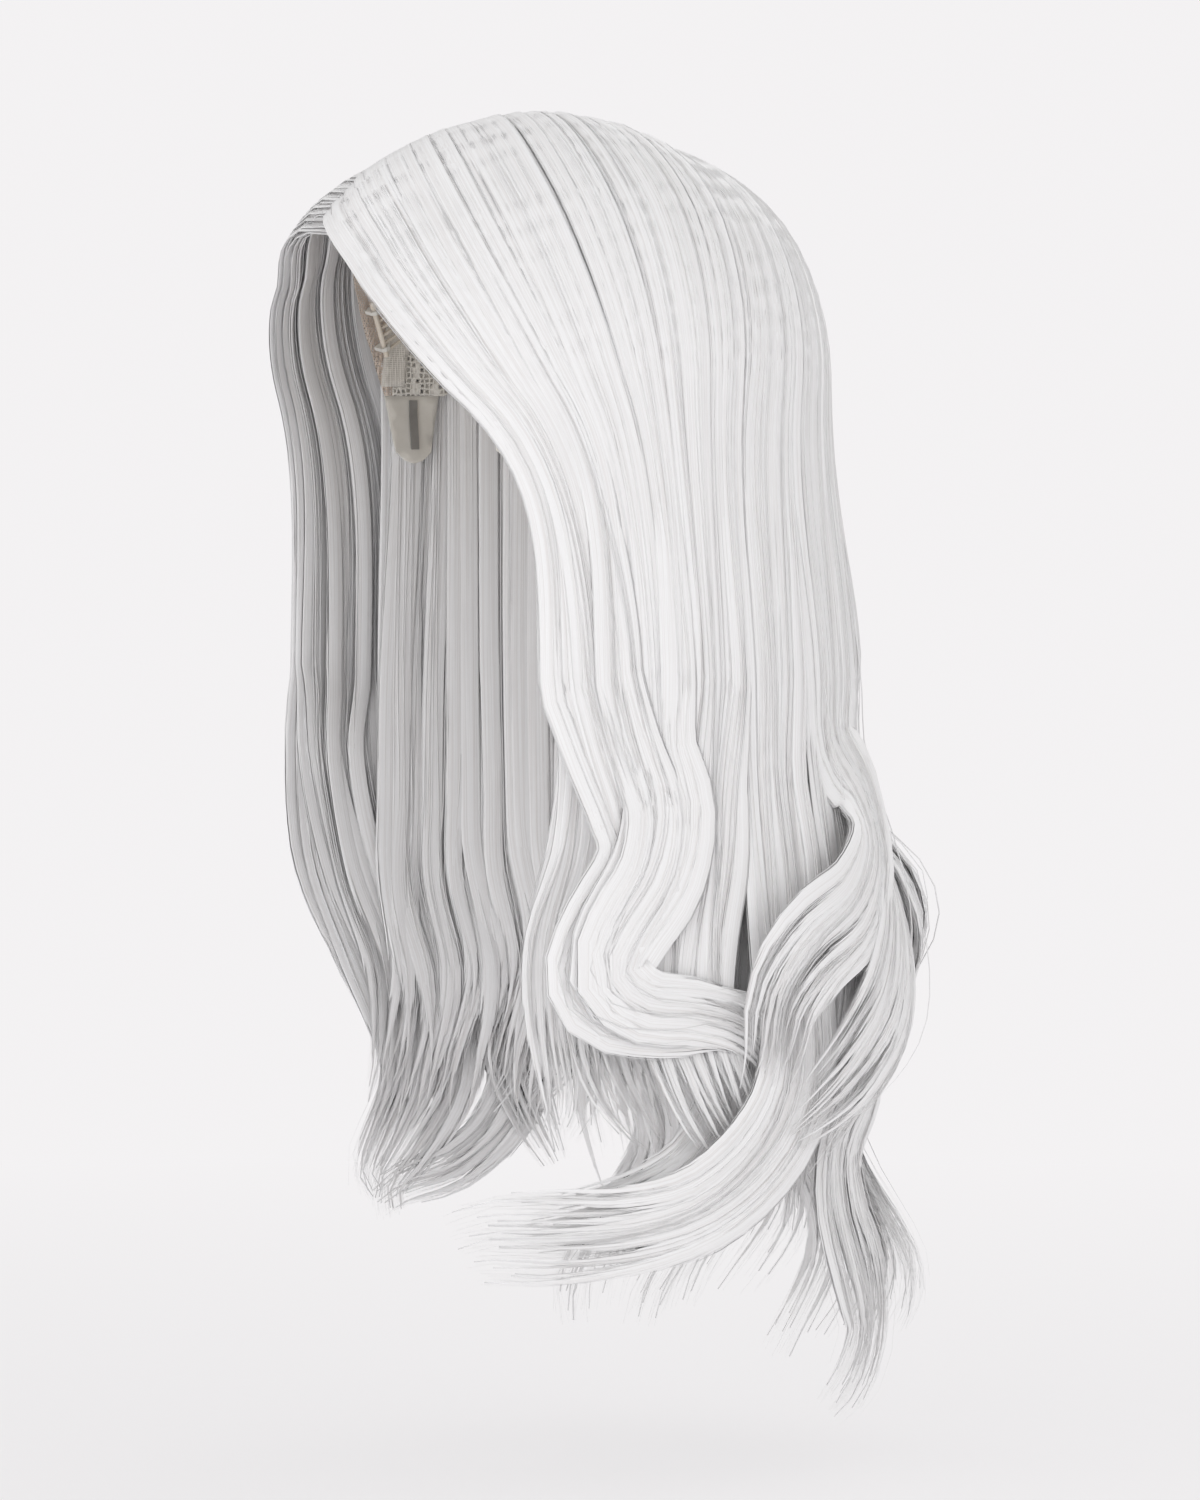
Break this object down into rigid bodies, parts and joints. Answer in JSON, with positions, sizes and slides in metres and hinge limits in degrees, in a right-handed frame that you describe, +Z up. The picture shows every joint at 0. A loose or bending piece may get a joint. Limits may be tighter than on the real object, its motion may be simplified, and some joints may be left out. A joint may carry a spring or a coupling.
{
  "type": "costume wig",
  "caption": "Long white wig: hair parted near the middle, swept back and ending in loose curls, on a lace-front cap with combs and adjuster straps.",
  "frame": {"origin": "middle of the head opening at the level of the brow, where the head form is widest", "axes": "+Z up along the hair, -Y the way the face looks, +X the wearer's left"},
  "size_m": [0.2687, 0.2773, 0.5704],
  "materials": {
    "hair": "silky white synthetic fibre, fine streaks along the strands",
    "weft_hair": "silky white synthetic fibre, under layer",
    "weft_seam": "white stitched weft head",
    "lace": "sheer skin-toned lace",
    "net": "stretch net, off-white",
    "band": "soft velvet band, off-white",
    "tape": "woven tape, off-white",
    "skin": "skin-toned parting strip",
    "thread": "sewn thread loops",
    "elastic": "ribbed elastic",
    "hook": "moulded hook, slightly translucent",
    "comb": "moulded comb, smooth",
    "steel": "spring steel stay"
  },
  "bodies": {
    "wig": {"lace_front": "lace", "crown_net": "net", "nape_band": "band", "ear_tab_left": "band", "ear_tab_right": "band", "ear_stay_left": "steel", "ear_stay_right": "steel", "seam_tape": "tape", "rib_center": "tape", "rib_left": "tape", "rib_right": "tape", "parting_strip": "skin", "weft_track_1": "weft_seam", "weft_track_2": "weft_seam", "weft_track_3": "weft_seam", "weft_track_4": "weft_seam", "weft_track_5": "weft_seam", "weft_track_6": "weft_seam", "weft_track_7": "weft_seam", "strap_casing_left": "tape", "strap_casing_right": "tape", "loop_tape_left": "tape", "loop_tape_right": "tape", "comb_keeper_left": "thread", "comb_keeper_right": "thread", "comb_keeper_back": "thread", "face_lock_left": "hair", "temple_lock_left": "hair", "side_lock_left": "hair", "shoulder_curl_left": "hair", "rear_side_lock_left": "hair", "nape_curl_left": "hair", "back_lock_left": "hair", "back_lock_center": "hair", "back_lock_right": "hair", "nape_curl_right": "hair", "rear_side_lock_right": "hair", "side_lock_right": "hair", "temple_lock_right": "hair", "face_lock_right": "hair", "weft_hair_left_1": "weft_hair", "weft_hair_left_2": "weft_hair", "weft_hair_left_3": "weft_hair", "weft_hair_left_4": "weft_hair", "weft_hair_right_1": "weft_hair", "weft_hair_right_2": "weft_hair", "weft_hair_right_3": "weft_hair", "weft_hair_right_4": "weft_hair"},
    "adjuster_left": {"elastic_strap_left": "elastic", "strap_hook_left": "hook"},
    "adjuster_right": {"elastic_strap_right": "elastic", "strap_hook_right": "hook"},
    "comb_left": {"comb_left": "comb"},
    "comb_right": {"comb_right": "comb"},
    "comb_back": {"comb_back": "comb"}
  },
  "joints": [
    {"name": "strap_adjust_left", "type": "hinge", "parent": "wig", "child": "adjuster_left", "pos_m": [0, 0.03482, -0.0535], "axis": [0, 0, 1], "range_deg": [0, 12]},
    {"name": "strap_adjust_right", "type": "hinge", "parent": "wig", "child": "adjuster_right", "pos_m": [0, 0.03482, -0.0535], "axis": [0, 0, -1], "range_deg": [0, 12]},
    {"name": "comb_swing_left", "type": "hinge", "parent": "wig", "child": "comb_left", "pos_m": [0.05743, -0.0568, 0.02518], "axis": [-0.3926, -0.3774, 0.8387], "range_deg": [0, 30]},
    {"name": "comb_swing_right", "type": "hinge", "parent": "wig", "child": "comb_right", "pos_m": [-0.05743, -0.0568, 0.02518], "axis": [-0.3926, 0.3774, -0.8387], "range_deg": [0, 30]},
    {"name": "comb_swing_back", "type": "hinge", "parent": "wig", "child": "comb_back", "pos_m": [0, 0.08999, -0.03882], "axis": [1, 0, 0], "range_deg": [0, 30]}
  ]
}
